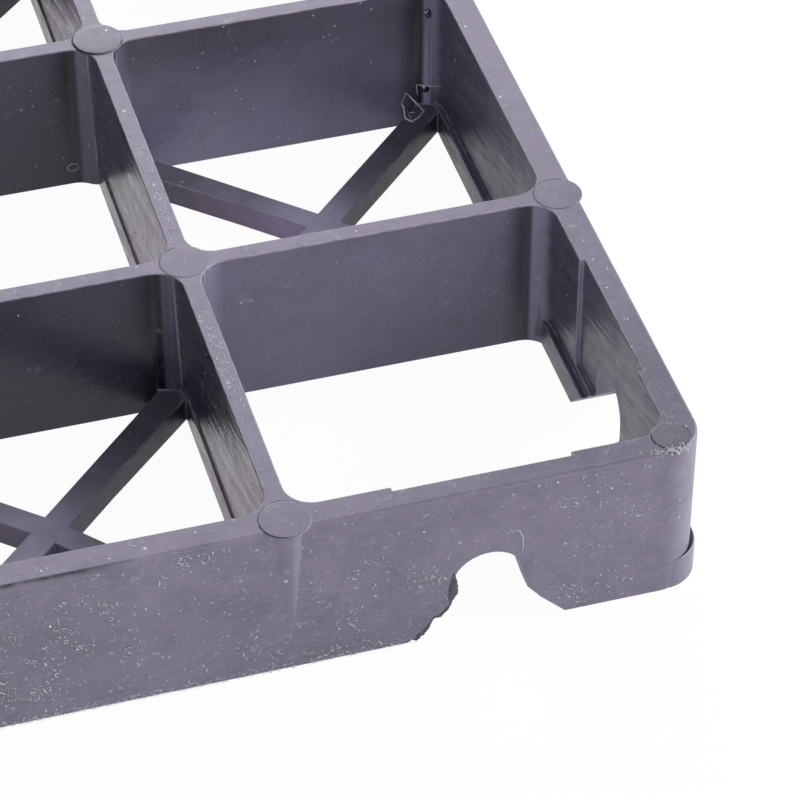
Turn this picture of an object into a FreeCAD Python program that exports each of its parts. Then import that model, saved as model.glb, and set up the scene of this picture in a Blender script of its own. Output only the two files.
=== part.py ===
import FreeCAD, Part
import os
import Sketcher

# Grass paver grid, moulded in one piece of plastic, lying flat with its open cells upwards.
# Frame: millimetres, +Z up, origin under the middle of the grid on the plane that it rests on.
# Cells are counted from the corner at -X, -Y. The cell at the corner at +X, -Y is an open one.

NODE = "paver_grid"

# Driving sizes, kept in the spreadsheet under these names.
SIZES = {
    "plate_side": 500,         # outer length along X
    "plate_depth": 38,         # height of the walls
    "cells_per_side": 6,
    "inner_wall": 4,           # wall between two cells
    "rim_wall": 6.5,           # outer wall at +X and -X
    "end_wall": 6.25,          # outer wall at +Y and -Y
    "end_set_back": 1.75,      # how much nearer to the middle the faces at +Y and -Y stand
    "corner_radius": 8.5,      # outer upright corners
    "top_edge": 0.8,           # rounding along the outer top edge
    "cell_fillet": 6,          # upright corners inside a cell
    "plinth_rise": 7,          # thicker foot of the walls that run along Y
    "plinth_step": 1.4,
    "bar_width": 5,            # crossed bars at the bottom of every other cell
    "bar_rise": 6,
    "post_top": 7.5,           # tapered post in each outer corner
    "post_foot": 6.5,
    "post_inset": 7,           # middle of the post from the corner of a square on plate_side
    "notch_width": 15,         # drain notch at the foot of the outer wall
    "notch_top": 20.7,
    "notch_flare": 9,
    "recess_width": 37,        # shallow recess on the inside of the outer wall
    "recess_step": 1.1,
    "recess_floor": 9,
    "band_rise": 10,           # low band along the outer faces at +X and -X
    "band_proud": 0.5,
}

# Lengths that follow from the driving sizes.
HALF = "(Sizes.plate_side / 2)"
PITCH = "((Sizes.plate_side - 2 * Sizes.rim_wall + Sizes.inner_wall) / Sizes.cells_per_side)"
CELL = f"({PITCH} - Sizes.inner_wall)"
GRID_EDGE = f"({PITCH} * Sizes.cells_per_side / 2)"
FIRST_CELL = f"({PITCH} / 2 - {GRID_EDGE})"
RIM_INSIDE = f"({HALF} - Sizes.rim_wall)"
END_OUTSIDE = f"({HALF} - Sizes.end_set_back)"
END_INSIDE = f"({END_OUTSIDE} - Sizes.end_wall)"
END_CELL = f"({CELL} - {RIM_INSIDE} + {END_INSIDE})"
END_MIDDLE = f"({FIRST_CELL} + ({RIM_INSIDE} - {END_INSIDE}) / 2)"

os.makedirs("parts", exist_ok=True)
doc = FreeCAD.newDocument("grass_paver_grid")
sheet = doc.addObject("Spreadsheet::Sheet", "Sizes")
for row, (alias, size) in enumerate(SIZES.items(), start=1):
    sheet.set(f"A{row}", alias)
    sheet.set(f"B{row}", str(size))
    sheet.setAlias(f"B{row}", alias)
doc.recompute()

body = doc.addObject("PartDesign::Body", NODE)
body.Label = NODE
origin = {feature.Role: feature for feature in body.Origin.OriginFeatures}


def value(expression):
    """The number that an expression on the sheet stands for."""
    return float(sheet.evalExpression(expression))


def new_sketch(name, plane, offset="0"):
    """A sketch on an origin plane, moved along the plane's normal."""
    sketch = body.newObject("Sketcher::SketchObject", name)
    sketch.AttachmentSupport = [(origin[plane], "")]
    sketch.MapMode = "FlatFace"
    sketch.setExpression("AttachmentOffset.Base.z", offset)
    return sketch


def add_line(sketch, start, end):
    """A line between two points given as expressions, with dimensions from the sketch's origin."""
    ends = [FreeCAD.Vector(value(x), value(y), 0) for x, y in (start, end)]
    line = sketch.addGeometry(Part.LineSegment(*ends))
    for vertex, point in ((1, start), (2, end)):
        for kind, expression in zip(("DistanceX", "DistanceY"), point):
            dimension = Sketcher.Constraint(kind, -1, 1, line, vertex, value(expression))
            number = sketch.addConstraint(dimension)
            sketch.setExpression(f"Constraints[{number}]", expression)
    return line


def add_arc(sketch, before, after, middle, tangent_to):
    """A round stretch from the end of one line to the start of the next, tangent to one of them."""
    start = sketch.getPoint(before, 2)
    end = sketch.getPoint(after, 1)
    arc = sketch.addGeometry(Part.Arc(start, FreeCAD.Vector(*middle, 0), end))
    for line, vertex, arc_vertex in ((before, 2, 1), (after, 1, 2)):
        kind = "Tangent" if line == tangent_to else "Coincident"
        sketch.addConstraint(Sketcher.Constraint(kind, line, vertex, arc, arc_vertex))


def polygon(sketch, corners):
    """A closed outline of straight lines through corners given as expressions."""
    for start, end in zip(corners, corners[1:] + corners[:1]):
        add_line(sketch, start, end)


def rounded_box(sketch, middle, sides, radius, trim="0"):
    """A rectangle with round corners, whose upright sides can be moved in, which trims the corners."""
    half_x, half_y = [f"({side} / 2)" for side in sides]
    upright = f"({half_x} - {trim})"
    flat_end = f"({half_x} - {radius})"
    upright_end = f"({half_y} - {radius} + sqrt({radius} ^ 2 - ({radius} - {trim}) ^ 2))"
    corners = [
        (f"-{flat_end}", f"-{half_y}"), (flat_end, f"-{half_y}"),
        (upright, f"-{upright_end}"), (upright, upright_end),
        (flat_end, half_y), (f"-{flat_end}", half_y),
        (f"-{upright}", upright_end), (f"-{upright}", f"-{upright_end}"),
    ]
    points = [(f"{middle[0]} + {x}", f"{middle[1]} + {y}") for x, y in corners]
    lines = [add_line(sketch, points[number], points[number + 1]) for number in range(0, 8, 2)]
    bulge_x = value(f"{half_x} - {radius} + {radius} * cos(45)")
    bulge_y = value(f"{half_y} - {radius} + {radius} * cos(45)")
    for number, (x, y) in enumerate(((1, -1), (1, 1), (-1, 1), (-1, -1))):
        before, after = lines[number], lines[(number + 1) % 4]
        on_arc = (value(middle[0]) + x * bulge_x, value(middle[1]) + y * bulge_y)
        add_arc(sketch, before, after, on_arc, before if number % 2 == 0 else after)


def finish(feature, refine=False):
    """Make the feature the body's newest. Split faces are merged only once, by the last one."""
    feature.Refine = refine
    body.Tip = feature
    doc.recompute()
    return feature


def pad(name, sketch, length, refine=False):
    feature = body.newObject("PartDesign::Pad", name)
    feature.Profile = sketch
    feature.setExpression("Length", length)
    return finish(feature, refine)


def pocket(name, sketch, length):
    """A cut against the sketch's normal, which has to take material away."""
    before = body.Shape.Volume
    feature = body.newObject("PartDesign::Pocket", name)
    feature.Profile = sketch
    feature.setExpression("Length", length)
    finish(feature)
    if feature.Shape.Volume >= before:
        raise RuntimeError(f"{name} cuts nothing")
    return feature


def linear(name, axis, spacing, count):
    """One direction of a pattern."""
    pattern = body.newObject("PartDesign::LinearPattern", name)
    pattern.Direction = (origin[axis], [""])
    pattern.Mode = "Spacing"
    pattern.setExpression("Offset", spacing)
    pattern.setExpression("Occurrences", count)
    return pattern


def turns(name, count):
    """A pattern about the middle of the grid."""
    pattern = body.newObject("PartDesign::PolarPattern", name)
    pattern.Axis = (origin["Z_Axis"], [""])
    pattern.Angle = 360
    pattern.Occurrences = count
    return pattern


def repeat(name, features, steps):
    """The features repeated by each of the steps in turn."""
    pattern = body.newObject("PartDesign::MultiTransform", name)
    pattern.Originals = features
    pattern.Transformations = steps
    return finish(pattern)


def add_slab():
    """The outer block, rounded at its upright corners and along its top edge."""
    sketch = new_sketch("slab_outline", "XY_Plane")
    rounded_box(sketch, ("0", "0"), ("Sizes.plate_side", f"2 * {END_OUTSIDE}"), "Sizes.corner_radius")
    slab = pad("slab", sketch, "Sizes.plate_depth")
    faces = slab.Shape.Faces
    top = max(range(len(faces)), key=lambda number: faces[number].CenterOfMass.z)
    edge = body.newObject("PartDesign::Fillet", "slab_top_edge")
    edge.Base = (slab, [f"Face{top + 1}"])
    edge.setExpression("Radius", "Sizes.top_edge")
    finish(edge)


def add_band():
    """The low band, which stands proud of the outer faces at +X and -X and fades out in the corners."""
    sketch = new_sketch("band_outline", "XY_Plane")
    sides = ("Sizes.plate_side + 2 * Sizes.band_proud", f"2 * {END_OUTSIDE}")
    rounded_box(sketch, ("0", "0"), [f"({side})" for side in sides], "Sizes.corner_radius")
    pad("band", sketch, "Sizes.band_rise")


def notch_outline(sketch):
    """An arch on straight sides that flare out at 45 degrees below."""
    half = "Sizes.notch_width / 2"
    left = f"{FIRST_CELL} - {half}"
    right = f"{FIRST_CELL} + {half}"
    corners = [
        (left, f"Sizes.notch_top - {half}"),
        (left, "Sizes.notch_flare"),
        (f"{left} - Sizes.notch_flare", "0"),
        (f"{right} + Sizes.notch_flare", "0"),
        (right, "Sizes.notch_flare"),
        (right, f"Sizes.notch_top - {half}"),
    ]
    lines = [add_line(sketch, start, end) for start, end in zip(corners, corners[1:])]
    crown = (value(FIRST_CELL), value("Sizes.notch_top"))
    add_arc(sketch, lines[-1], lines[0], crown, lines[-1])


def cut_notches():
    """Notches in the end cells of one outer wall, turned round to all four walls."""
    sketch = new_sketch("notch_outline", "XZ_Plane", f"{HALF} + Sizes.band_proud")
    notch_outline(sketch)
    reach = "Sizes.band_proud + Sizes.rim_wall + Sizes.end_set_back + 2 * Sizes.plinth_step"
    notch = pocket("notch", sketch, reach)
    ends = linear("notch_ends", "X_Axis", f"{PITCH} * (Sizes.cells_per_side - 1)", "2")
    repeat("notches", [notch], [ends, turns("notch_turns", 4)])


def cut_recesses(name, inside, along):
    """Recesses on the inside of two opposite outer walls, in their end cells."""
    run = (f"{FIRST_CELL} - Sizes.recess_width / 2", f"{FIRST_CELL} + Sizes.recess_width / 2")
    depth = (f"-{inside} - Sizes.recess_step", f"-{inside} + Sizes.recess_step")
    x, y = (run, depth) if along == "X_Axis" else (depth, run)
    sketch = new_sketch(f"{name}_outline", "XY_Plane", "Sizes.plate_depth")
    polygon(sketch, [(x[0], y[0]), (x[1], y[0]), (x[1], y[1]), (x[0], y[1])])
    recess = pocket(name, sketch, "Sizes.plate_depth - Sizes.recess_floor")
    ends = linear(f"{name}_ends", along, f"{PITCH} * (Sizes.cells_per_side - 1)", "2")
    repeat(f"{name}_set", [recess], [ends, turns(f"{name}_turns", 2)])


def cut_cell(name, middle, sides):
    """One cell: open right through, and narrower between the plinths at the bottom."""
    foot_sketch = new_sketch(f"{name}_foot_outline", "XY_Plane", "Sizes.plate_depth")
    rounded_box(foot_sketch, middle, sides, "Sizes.cell_fillet", "Sizes.plinth_step")
    foot = pocket(f"{name}_foot", foot_sketch, "Sizes.plate_depth")
    sketch = new_sketch(f"{name}_outline", "XY_Plane", "Sizes.plate_depth")
    rounded_box(sketch, middle, sides, "Sizes.cell_fillet")
    cell = pocket(name, sketch, "Sizes.plate_depth - Sizes.plinth_rise")
    return [foot, cell]


def cut_cells():
    """Square cells in all rows but those along the walls at +Y and -Y, whose cells are shorter."""
    square = cut_cell("cell", (FIRST_CELL, f"{FIRST_CELL} + {PITCH}"), (CELL, CELL))
    along_x = linear("cells_along_x", "X_Axis", PITCH, "Sizes.cells_per_side")
    along_y = linear("cells_along_y", "Y_Axis", PITCH, "Sizes.cells_per_side - 2")
    repeat("cells", square, [along_x, along_y])
    short = cut_cell("end_cell", (FIRST_CELL, END_MIDDLE), (CELL, END_CELL))
    along_wall = linear("end_cells_along_x", "X_Axis", PITCH, "Sizes.cells_per_side")
    repeat("end_cells", short, [along_wall, turns("end_cell_turns", 2)])


def add_posts():
    """A tapered post in each outer corner, which stands out into the corner's cell."""
    post = body.newObject("PartDesign::AdditiveCone", "post")
    post.setExpression("Radius1", "Sizes.post_foot / 2")
    post.setExpression("Radius2", "Sizes.post_top / 2")
    post.setExpression("Height", "Sizes.plate_depth")
    post.setExpression("Placement.Base.x", f"Sizes.post_inset - {HALF}")
    post.setExpression("Placement.Base.y", f"Sizes.post_inset - {HALF}")
    finish(post)
    repeat("posts", [post], [turns("post_turns", 4)])


def diagonal_bar(sketch, start, end, side):
    """A bar at 45 degrees between two crossings of the walls."""
    half = "Sizes.bar_width / 2 * cos(45)"
    corners = []
    for crossing, across in ((start, -1), (end, -1), (end, 1), (start, 1)):
        x = f"{crossing[0]} * {PITCH} - {GRID_EDGE} + {across * side} * {half}"
        y = f"{crossing[1]} * {PITCH} - {GRID_EDGE} + {across} * {half}"
        corners.append((x, y))
    polygon(sketch, corners)


def add_bars():
    """Crossed bars in every other cell, as diagonals that run from rim to rim.

    The cell at +X, -Y is open, so a diagonal is a bar if its number is odd or even like the count.
    """
    count = int(value("Sizes.cells_per_side"))
    rising = new_sketch("rising_bar_outlines", "XY_Plane")
    for shift in range(1 - count, count):
        if (shift - count) % 2 == 0:
            start = (max(shift, 0), max(-shift, 0))
            end = (min(count, count + shift), min(count, count - shift))
            diagonal_bar(rising, start, end, -1)
    pad("rising_bars", rising, "Sizes.bar_rise")
    falling = new_sketch("falling_bar_outlines", "XY_Plane")
    for total in range(2 * count - 1):
        if (total - count) % 2 == 0:
            low = max(0, total - count + 1)
            high = total + 1 - low
            diagonal_bar(falling, (low, high), (high, low), 1)
    pad("falling_bars", falling, "Sizes.bar_rise", refine=True)


add_slab()
add_band()
cut_notches()
cut_recesses("end_recess", END_INSIDE, "X_Axis")
cut_recesses("side_recess", RIM_INSIDE, "Y_Axis")
cut_cells()
add_posts()
add_bars()

failed = [thing.Name for thing in doc.Objects if {"Invalid", "Error"} & set(thing.State)]
if failed:
    raise RuntimeError(f"features failed: {failed}")
shape = body.Shape
if shape.isNull() or not shape.isValid() or len(shape.Solids) != 1:
    raise RuntimeError("the grid is not one valid solid")
shape.exportStep(f"parts/{NODE}.step")
print(NODE, shape.BoundBox, "volume", round(shape.Volume))
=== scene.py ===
"""Looks of the grass paver grid: scuffed purple-grey moulded plastic on a white floor."""
import math
import random

import bmesh
import bpy
from mathutils import Matrix, Vector
from mathutils.bvhtree import BVHTree


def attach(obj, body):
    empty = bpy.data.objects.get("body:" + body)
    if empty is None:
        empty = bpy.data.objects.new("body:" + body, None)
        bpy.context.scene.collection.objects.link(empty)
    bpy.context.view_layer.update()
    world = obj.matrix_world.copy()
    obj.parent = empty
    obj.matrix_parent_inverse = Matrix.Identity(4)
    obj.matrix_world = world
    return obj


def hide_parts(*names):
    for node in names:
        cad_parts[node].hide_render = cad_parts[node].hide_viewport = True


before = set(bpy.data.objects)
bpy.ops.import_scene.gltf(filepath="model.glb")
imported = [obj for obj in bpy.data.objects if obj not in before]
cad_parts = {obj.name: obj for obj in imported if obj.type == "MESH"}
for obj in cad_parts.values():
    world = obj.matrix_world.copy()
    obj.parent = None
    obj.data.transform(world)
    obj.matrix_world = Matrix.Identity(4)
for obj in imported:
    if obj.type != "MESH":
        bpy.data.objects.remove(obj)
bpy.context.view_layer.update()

MM = 0.001
NODE = "paver_grid"

# Sizes of the CAD part, in millimetres.
FACE_X = 250
FACE_Y = 248.25
DEPTH = 38
CORNER_RADIUS = 8.5
BAND_RISE = 10
BAND_PROUD = 0.5
CELLS = 6
GRID_EDGE = 245.5
PITCH = 2 * GRID_EDGE / CELLS
CROSSINGS = [PITCH * number - GRID_EDGE for number in range(CELLS + 1)]
WALL = 4
RIM_INSIDE = (FACE_X - 6.5, FACE_Y - 6.25)
BAR_RISE = 6
PLINTH_RISE = 7
PLINTH_STEP = 1.4
NOTCH_MIDDLE = CROSSINGS[-1] - PITCH / 2
NOTCH_REACH = 16.5

# The same forms where the photograph shows them a little off, in millimetres.
SEEN_PLINTH_STEP = 0.5
SEEN_BAND_RISE = 7.3
SEEN_BAND_PROUD = 1.2
BAND_END = 72
SEEN_FLANK_TOP = (210.5, 17.5)
SEEN_FLANK_FOOT = (212.9, 9.0)

# Camera of the photograph, fitted to the walls' crossings.
IMAGE_SIDE = 800
FOCAL_PIXELS = 3672.8
CAMERA_PLACE = Vector((39.05, -746.03, 528.38)) * MM
CAMERA_AZIMUTH = 16.448
CAMERA_ELEVATION = 41.692
CAMERA_ROLL = 0.184

EDGE_ROUNDING = 0.3
PLASTIC_COLOR = (0.197, 0.18, 0.25)
# A bluer copy of the plastic colour for the walls inside the cells, as painted shade.
SHADED_CELL_COLOR = (0.183, 0.179, 0.265)
# Colour of the painted reflection of the white floor on the inner walls.
FLOOR_REFLECTION_COLOR = (0.31, 0.2, 0.345)
GLOSS_TINT = (1, 0.88, 1, 1)
DULL_FIBRE_COLOR = (0.5, 0.49, 0.53)
FIBRE_COLOR = (0.8, 0.81, 0.88)
# Colour of the flash, and of the white crumbs that are a painted highlight on the beads.
FLASH_AND_HIGHLIGHT_COLOR = (0.95, 0.95, 0.97)
MOTTLE_COLOR = (0.21, 0.19, 0.235)
SMUDGE_COLOR = (0.36, 0.35, 0.41)
# Colour of worn edges, partly a painted highlight along the rounded edges.
WEAR_AND_HIGHLIGHT_COLOR = (0.36, 0.345, 0.4)
SCUFF_COLOR = (0.38, 0.37, 0.42)
SPECK_COLOR = (0.62, 0.61, 0.66)
# Colour of dark lines, and of the painted shadow on the band's ledge and round the discs' step.
LINE_AND_SHADOW_COLOR = (0.02, 0.02, 0.025)
TORN_COLORS = ((0.04, 0.036, 0.046), (0.15, 0.138, 0.17))
BEAD_COLORS = ((0.016, 0.016, 0.02), (0.04, 0.038, 0.05))
FLOOR_COLOR = (0.9, 0.9, 0.9, 1)
# The corner of the grid towards which the tops get painted shade, in metres.
SHADED_CORNER = (0.245, -0.245, 0.038)

# Lamps in metres and watts: name, place, size, energy. All face the seen corner of the grid.
LAMPS = [
    ("right_lamp", (1.7, -0.2, 0.8), 1.2, 38), ("back_lamp", (0.3, 1.35, 0.7), 0.9, 13),
    ("front_lamp", (0.3, -1.7, 0.8), 1.2, 8),
]
LAMP_TARGET = Vector((0.15, -0.15, 0))
SURROUND_STRENGTH = 0.28
FLOOR_LEVEL = -0.0005

# Where the mesh is cut through each row of cells: axis, and millimetres beside the cell's middle.
CUTS = [("x", 11.3), ("y", 13.1)]

# Ejector discs: places on the rim, and radius by how many rims meet there.
CORNER_DISC = (243.6, 243.2)
RIM_DISC = (246, 245.2)
DISC_RADII = (5, 5, 3.75)
DISC_RISE = 0.04
RAISED_RADIUS = 5.5
RAISED_RISE = 0.4

# An ejector pin's boss on an outer wall: height, and how far it stands proud there.
BOSS_RADIUS = 5
BOSS_PROFILE = [
    (38, 1.4), (37.4, 1.25), (37, 0.95), (35.5, 0.72), (29, 0.48), (25.3, 0.39), (18.6, 0.21),
    (12.4, 0.07), (7, -0.1), (2, -0.3),
]

# Lint: a turn in radians, the arms of a crumb, and how many fibres and crumbs there are.
TURN = 6.28
CRUMB_ARMS = [(1, 0, 0), (-0.5, 0.85, 0), (-0.5, -0.85, 0), (0, 0, 1), (0, 0, -1)]
SEEN_FRONT_LINT = 1600
SIDE_LINT = 500
TOP_CRUMBS = 3200
CELL_CRUMBS = 6000

# Painted shade and light on the inside walls that the photograph shows, by how light they look there:
# (column, row, axis, side faced).
SEEN_WALL_SHADES = {
    (5, 0, "y", -1): 0.88, (5, 1, "y", -1): 0.45, (4, 0, "y", -1): 0.28, (4, 1, "y", -1): 0.34,
    (5, 0, "x", -1): 0.62, (5, 1, "x", -1): 0.7, (4, 0, "x", -1): 0.38, (4, 1, "x", -1): 0.6,
}
# Face tones: painted shade on the bars' sides and on the ledges in the cells, painted light on the bars'
# sides in one cell and on one side of the bosses, and the tone of the discs' tops.
BAR_PAINTED_SHADE = 0.5
BAR_PAINTED_LIGHT = 1.25
LIT_BAR_CELL = (5, 1)
LEDGE_PAINTED_SHADE = 0.6
DISC_TONE = 0.92
BOSS_SIDE_PAINTED_LIGHT = 1.18

# How far the crossing of the bars has moved in the braced cells that the photograph shows.
SEEN_CROSSING = {(4, 0): (2.2, 2.2), (5, 1): (0.9, 0.9)}

# How much wider the crossed bars are at their far edge: direction across the bar, and millimetres.
DIAGONAL = math.sqrt(0.5)
SEEN_BAR_EXTRA = [(Vector((-DIAGONAL, DIAGONAL)), 1.0), (Vector((DIAGONAL, DIAGONAL)), 0.6)]
BAR_TOP = BAR_RISE + 0.6
BAR_REACH = 52
BAR_CLEAR = 34

# Beads of plastic in the far corner of a braced cell:
# place along the wall, height, half width and half height.
SEEN_BEADS = [(241.1, 31.3, 0.75, 1.35), (240.6, 9.8, 0.9, 1.0)]

# Where the line round an ejector disc shows in the photograph, a witness line with painted shade of the
# disc's step: first and last angle, in degrees.
SEEN_LINES_AND_SHADOWS = {
    (6, 0): (150, 395), (6, 1): (60, 170), (5, 0): (175, 255), (5, 1): (95, 120), (5, 2): (180, 340),
}

# Where the photograph shows clusters of lint on the front face: place along it and height.
SEEN_LINT = [
    (111.8, 7.2), (111.8, 7.2), (122.2, 29.8), (117.7, 22.5), (112.9, 16.8), (113.9, 10.2),
    (131.6, 14.4), (127.4, 26.7), (108.3, 23.5), (120.3, 17.3), (106.0, 10.3), (143.0, 35.5),
    (193.8, 17.6), (222.6, 5.5), (226.3, 3.6),
]

# A hair on the front face above the notch: place along the face and height.
SEEN_HAIR = [
    (208.8, 26.3), (209.3, 25.4), (210.0, 25.7), (210.9, 25.1), (211.6, 23.2), (211.6, 20.9),
    (211.4, 18.9),
]

# Where the top is scuffed and scraped, and where the foot of the front wall is frayed.
SCUFF_MIDDLE = (242.6, -247.5)
SEEN_SCRAPES = [(246.4, -206.5), (248, -190.8), (247.2, -230.7), (176.5, -246.2), (198, -245.3)]
FRAYED = (60, 190)

# Edges of the torn lip of the front notch, from the arch down: place along the face and height.
TORN_INNER = [
    (197.2, 17.4), (196.7, 15.5), (196.3, 13.3), (196.1, 10.9), (196.6, 8.7), (196.1, 7.7),
    (194.5, 5.9), (193.3, 6.2), (191.8, 3.8), (189.8, 1.7), (189.2, 0.4),
]
TORN_OUTER = [
    (197.5, 17.2), (198.0, 14.6), (198.4, 12.2), (198.3, 10.8), (197.0, 9.0), (196.5, 7.3),
    (195.1, 5.4), (193.4, 5.0), (192.1, 2.4), (190.7, 0.6), (190.0, 0.0),
]

# Threads of flash on the far walls: places along the wall and heights, and the thread's radius.
FAR_WALL = CROSSINGS[2] - 2.1
SEEN_THREADS = [
    ([(234.6, 6.8), (235.7, 9.7), (237.2, 7.7), (238.6, 5.6), (240.2, 3.1), (239.1, 1.8), (237.2, 0.6),
      (235.6, 1.8), (235.1, 5.6), (234.6, 6.8)], 0.24),
    ([(236.0, 4.7), (236.6, 2.6), (237.2, 0.9)], 0.16),
    ([(235.4, 2.4), (236.9, 3.4), (238.0, 3.2)], 0.16),
    ([(238.6, 8.4), (238.3, 11.6), (239.4, 11.1), (242.0, 10.3), (244.3, 9.7)], 0.17),
]


def add_object(name, mesh):
    obj = bpy.data.objects.new(name, mesh)
    bpy.context.scene.collection.objects.link(obj)
    return obj


def add_built(name, bm):
    """An object made of a finished bmesh."""
    mesh = bpy.data.meshes.new(name)
    bm.to_mesh(mesh)
    bm.free()
    return add_object(name, mesh)


def join_rings(bm, rings):
    """Faces between rings of points, with a face at each end. The faces between are returned."""
    faces = []
    around = len(rings[0])
    for low, high in zip(rings, rings[1:]):
        for number in range(around):
            after = (number + 1) % around
            faces.append(bm.faces.new((low[number], low[after], high[after], high[number])))
    bm.faces.new(list(reversed(rings[0])))
    bm.faces.new(rings[-1])
    return faces


def add_camera():
    """The photograph's camera, with its middle in the middle of the image."""
    data = bpy.data.cameras.new("photo_camera")
    data.sensor_width = 36
    data.lens = data.sensor_width * FOCAL_PIXELS / IMAGE_SIDE
    data.clip_start = 0.05
    data.clip_end = 20
    camera = bpy.data.objects.new("photo_camera", data)
    bpy.context.scene.collection.objects.link(camera)
    turn = Matrix.Rotation(math.radians(-CAMERA_AZIMUTH), 4, "Z")
    tilt = Matrix.Rotation(math.radians(90 - CAMERA_ELEVATION), 4, "X")
    roll = Matrix.Rotation(math.radians(CAMERA_ROLL), 4, "Z")
    camera.matrix_world = Matrix.Translation(CAMERA_PLACE) @ turn @ tilt @ roll
    bpy.context.scene.camera = camera


def split_at_cells(bm):
    """Cut the mesh once through each row of cells, so that no flat face has a hole in it."""
    for axis, beside in CUTS:
        for crossing in CROSSINGS[:-1]:
            place = Vector((0, 0, 0))
            normal = Vector((0, 0, 0))
            setattr(place, axis, (crossing + PITCH / 2 + beside) * MM)
            setattr(normal, axis, 1)
            whole = bm.verts[:] + bm.edges[:] + bm.faces[:]
            cut = bmesh.ops.bisect_plane(bm, geom=whole, plane_co=place, plane_no=normal, dist=1e-7)
            for item in cut["geom_cut"]:
                if isinstance(item, bmesh.types.BMEdge):
                    item.seam = True


def is_sharp(edge):
    return edge.is_manifold and edge.calc_face_angle(0) > math.radians(25)


def narrow_plinths(bm):
    """Draw the plinths of the inner walls in to the step that the photograph shows."""
    for vert in bm.verts:
        x, _, z = vert.co / MM
        crossing = min(CROSSINGS[1:-1], key=lambda place: abs(x - place))
        step = abs(x - crossing) - WALL / 2
        if z < PLINTH_RISE + 0.1 and 0 < step < PLINTH_STEP + 0.1:
            step *= SEEN_PLINTH_STEP / PLINTH_STEP
            vert.co.x = (crossing + math.copysign(WALL / 2 + step, x - crossing)) * MM


def lean_flank(bm):
    """Lean the right side of the front notch as the photograph shows it."""
    top_x, top_z = SEEN_FLANK_TOP
    foot_x, foot_z = SEEN_FLANK_FOOT
    for vert in bm.verts:
        x, y, z = vert.co / MM
        beside = NOTCH_MIDDLE + 5 < x < NOTCH_MIDDLE + 7.6 and y < -RIM_INSIDE[1] + 0.1
        if beside and foot_z - 0.1 < z < top_z:
            vert.co.x = (foot_x + (top_x - foot_x) * (z - foot_z) / (top_z - foot_z)) * MM


def on_band_step(vert):
    return abs(vert.co.z / MM - BAND_RISE) < 0.05 and abs(vert.co.x / MM) > FACE_X - 10


def flatten_band(bm):
    """Take off the low outer band, which foot_band makes again as the photograph shows it."""
    for vert in bm.verts:
        x, y, z = vert.co / MM
        from_corner = Vector((abs(x) - FACE_X + CORNER_RADIUS, max(0, abs(y) - FACE_Y + CORNER_RADIUS)))
        if z < BAND_RISE + 0.1 and from_corner.x > 0 and from_corner.length > CORNER_RADIUS + 0.005:
            vert.co.x -= math.copysign(BAND_PROUD, x) * MM
    bmesh.ops.remove_doubles(bm, verts=bm.verts, dist=0.02 * MM)
    step = []
    for edge in bm.edges:
        level = all(on_band_step(vert) for vert in edge.verts)
        if level and edge.calc_face_angle(1) < math.radians(1):
            step.append(edge)
    bmesh.ops.dissolve_edges(bm, edges=step, use_verts=True)


def painted_wall_shades():
    """Painted shade on each inside wall: as the photograph shows it, and by chance where it shows none."""
    chance = random.Random(31)
    tones = {}
    for column in range(CELLS):
        for row in range(CELLS):
            for axis in ("x", "y"):
                for side in (-1, 1):
                    key = (column, row, axis, side)
                    tones[key] = SEEN_WALL_SHADES.get(key, chance.uniform(0.3, 0.8))
    return tones


def painted_face_shading(face, walls):
    """The tone of a face with its painted shading, which is 1 outside the cells and on the top, and whether
    it is an inside wall.
    """
    normal = face.normal
    middle = face.calc_center_median() / MM
    beside = middle + 3 * normal
    column = math.floor((beside.x + GRID_EDGE) / PITCH)
    row = math.floor((beside.y + GRID_EDGE) / PITCH)
    inside = 0 <= column < CELLS and 0 <= row < CELLS
    # Painted shade on the ledges at the foot of the inside walls.
    if inside and normal.z > 0.7 and abs(middle.z - PLINTH_RISE) < 0.3:
        return LEDGE_PAINTED_SHADE, 0
    if not inside or abs(normal.z) > 0.7:
        return 1, 0
    # Painted shade on the bars' sides, and painted light on some of them in one cell.
    if middle.z < BAR_RISE + 0.5 and min(abs(normal.x), abs(normal.y)) > 0.6:
        lit = normal.x < 0 and (column, row) == LIT_BAR_CELL
        return BAR_PAINTED_LIGHT if lit else BAR_PAINTED_SHADE, 0
    # Painted shade on the inside walls, mixed from the tones of the walls that the face looks along.
    along_x = walls[column, row, "x", 1 if normal.x > 0 else -1]
    along_y = walls[column, row, "y", 1 if normal.y > 0 else -1]
    share = normal.x ** 2 / (normal.x ** 2 + normal.y ** 2)
    return share * along_x + (1 - share) * along_y, 1


def clamped(value):
    return min(1, max(0, value))


def bar_growth(away, across, extra):
    """How far a point of a crossed bar moves where the far edge of the bar stands further out."""
    beside = away.dot(across)
    along = away - beside * across
    grown = clamped((beside - 0.8) / 1.4)
    near_bar = clamped(1 - (beside - 3) / 14)
    at_end = clamped((along.length - 40) / 8)
    slide = Vector((2 * across.x, 0)) if along.y > 0 else Vector((0, 2 * across.y))
    return extra * grown * near_bar * across.lerp(slide, at_end)


def warp_bars(bm):
    """Crossed bars that cooled a little out of line, and are wider than in the CAD part."""
    chance = random.Random(3)
    shifts = {}
    for column in range(CELLS):
        for row in range(CELLS):
            if (column + row) % 2 == 0:
                by_chance = (chance.uniform(-0.9, 0.9), chance.uniform(-0.9, 0.9))
                shifts[column, row] = SEEN_CROSSING.get((column, row), by_chance)
    for vert in bm.verts:
        x, y, z = vert.co / MM
        cell = (math.floor((x + GRID_EDGE) / PITCH), math.floor((y + GRID_EDGE) / PITCH))
        if z < PLINTH_RISE and cell in shifts:
            away = Vector((x - CROSSINGS[cell[0]] - PITCH / 2, y - CROSSINGS[cell[1]] - PITCH / 2))
            move = Vector((0, 0))
            if z < BAR_TOP:
                for across, extra in SEEN_BAR_EXTRA:
                    move += bar_growth(away, across, extra)
            if max(abs(away.x), abs(away.y)) < BAR_CLEAR:
                move += Vector(shifts[cell]) * max(0, 1 - away.length / BAR_REACH)
            vert.co.x += move.x * MM
            vert.co.y += move.y * MM


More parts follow.
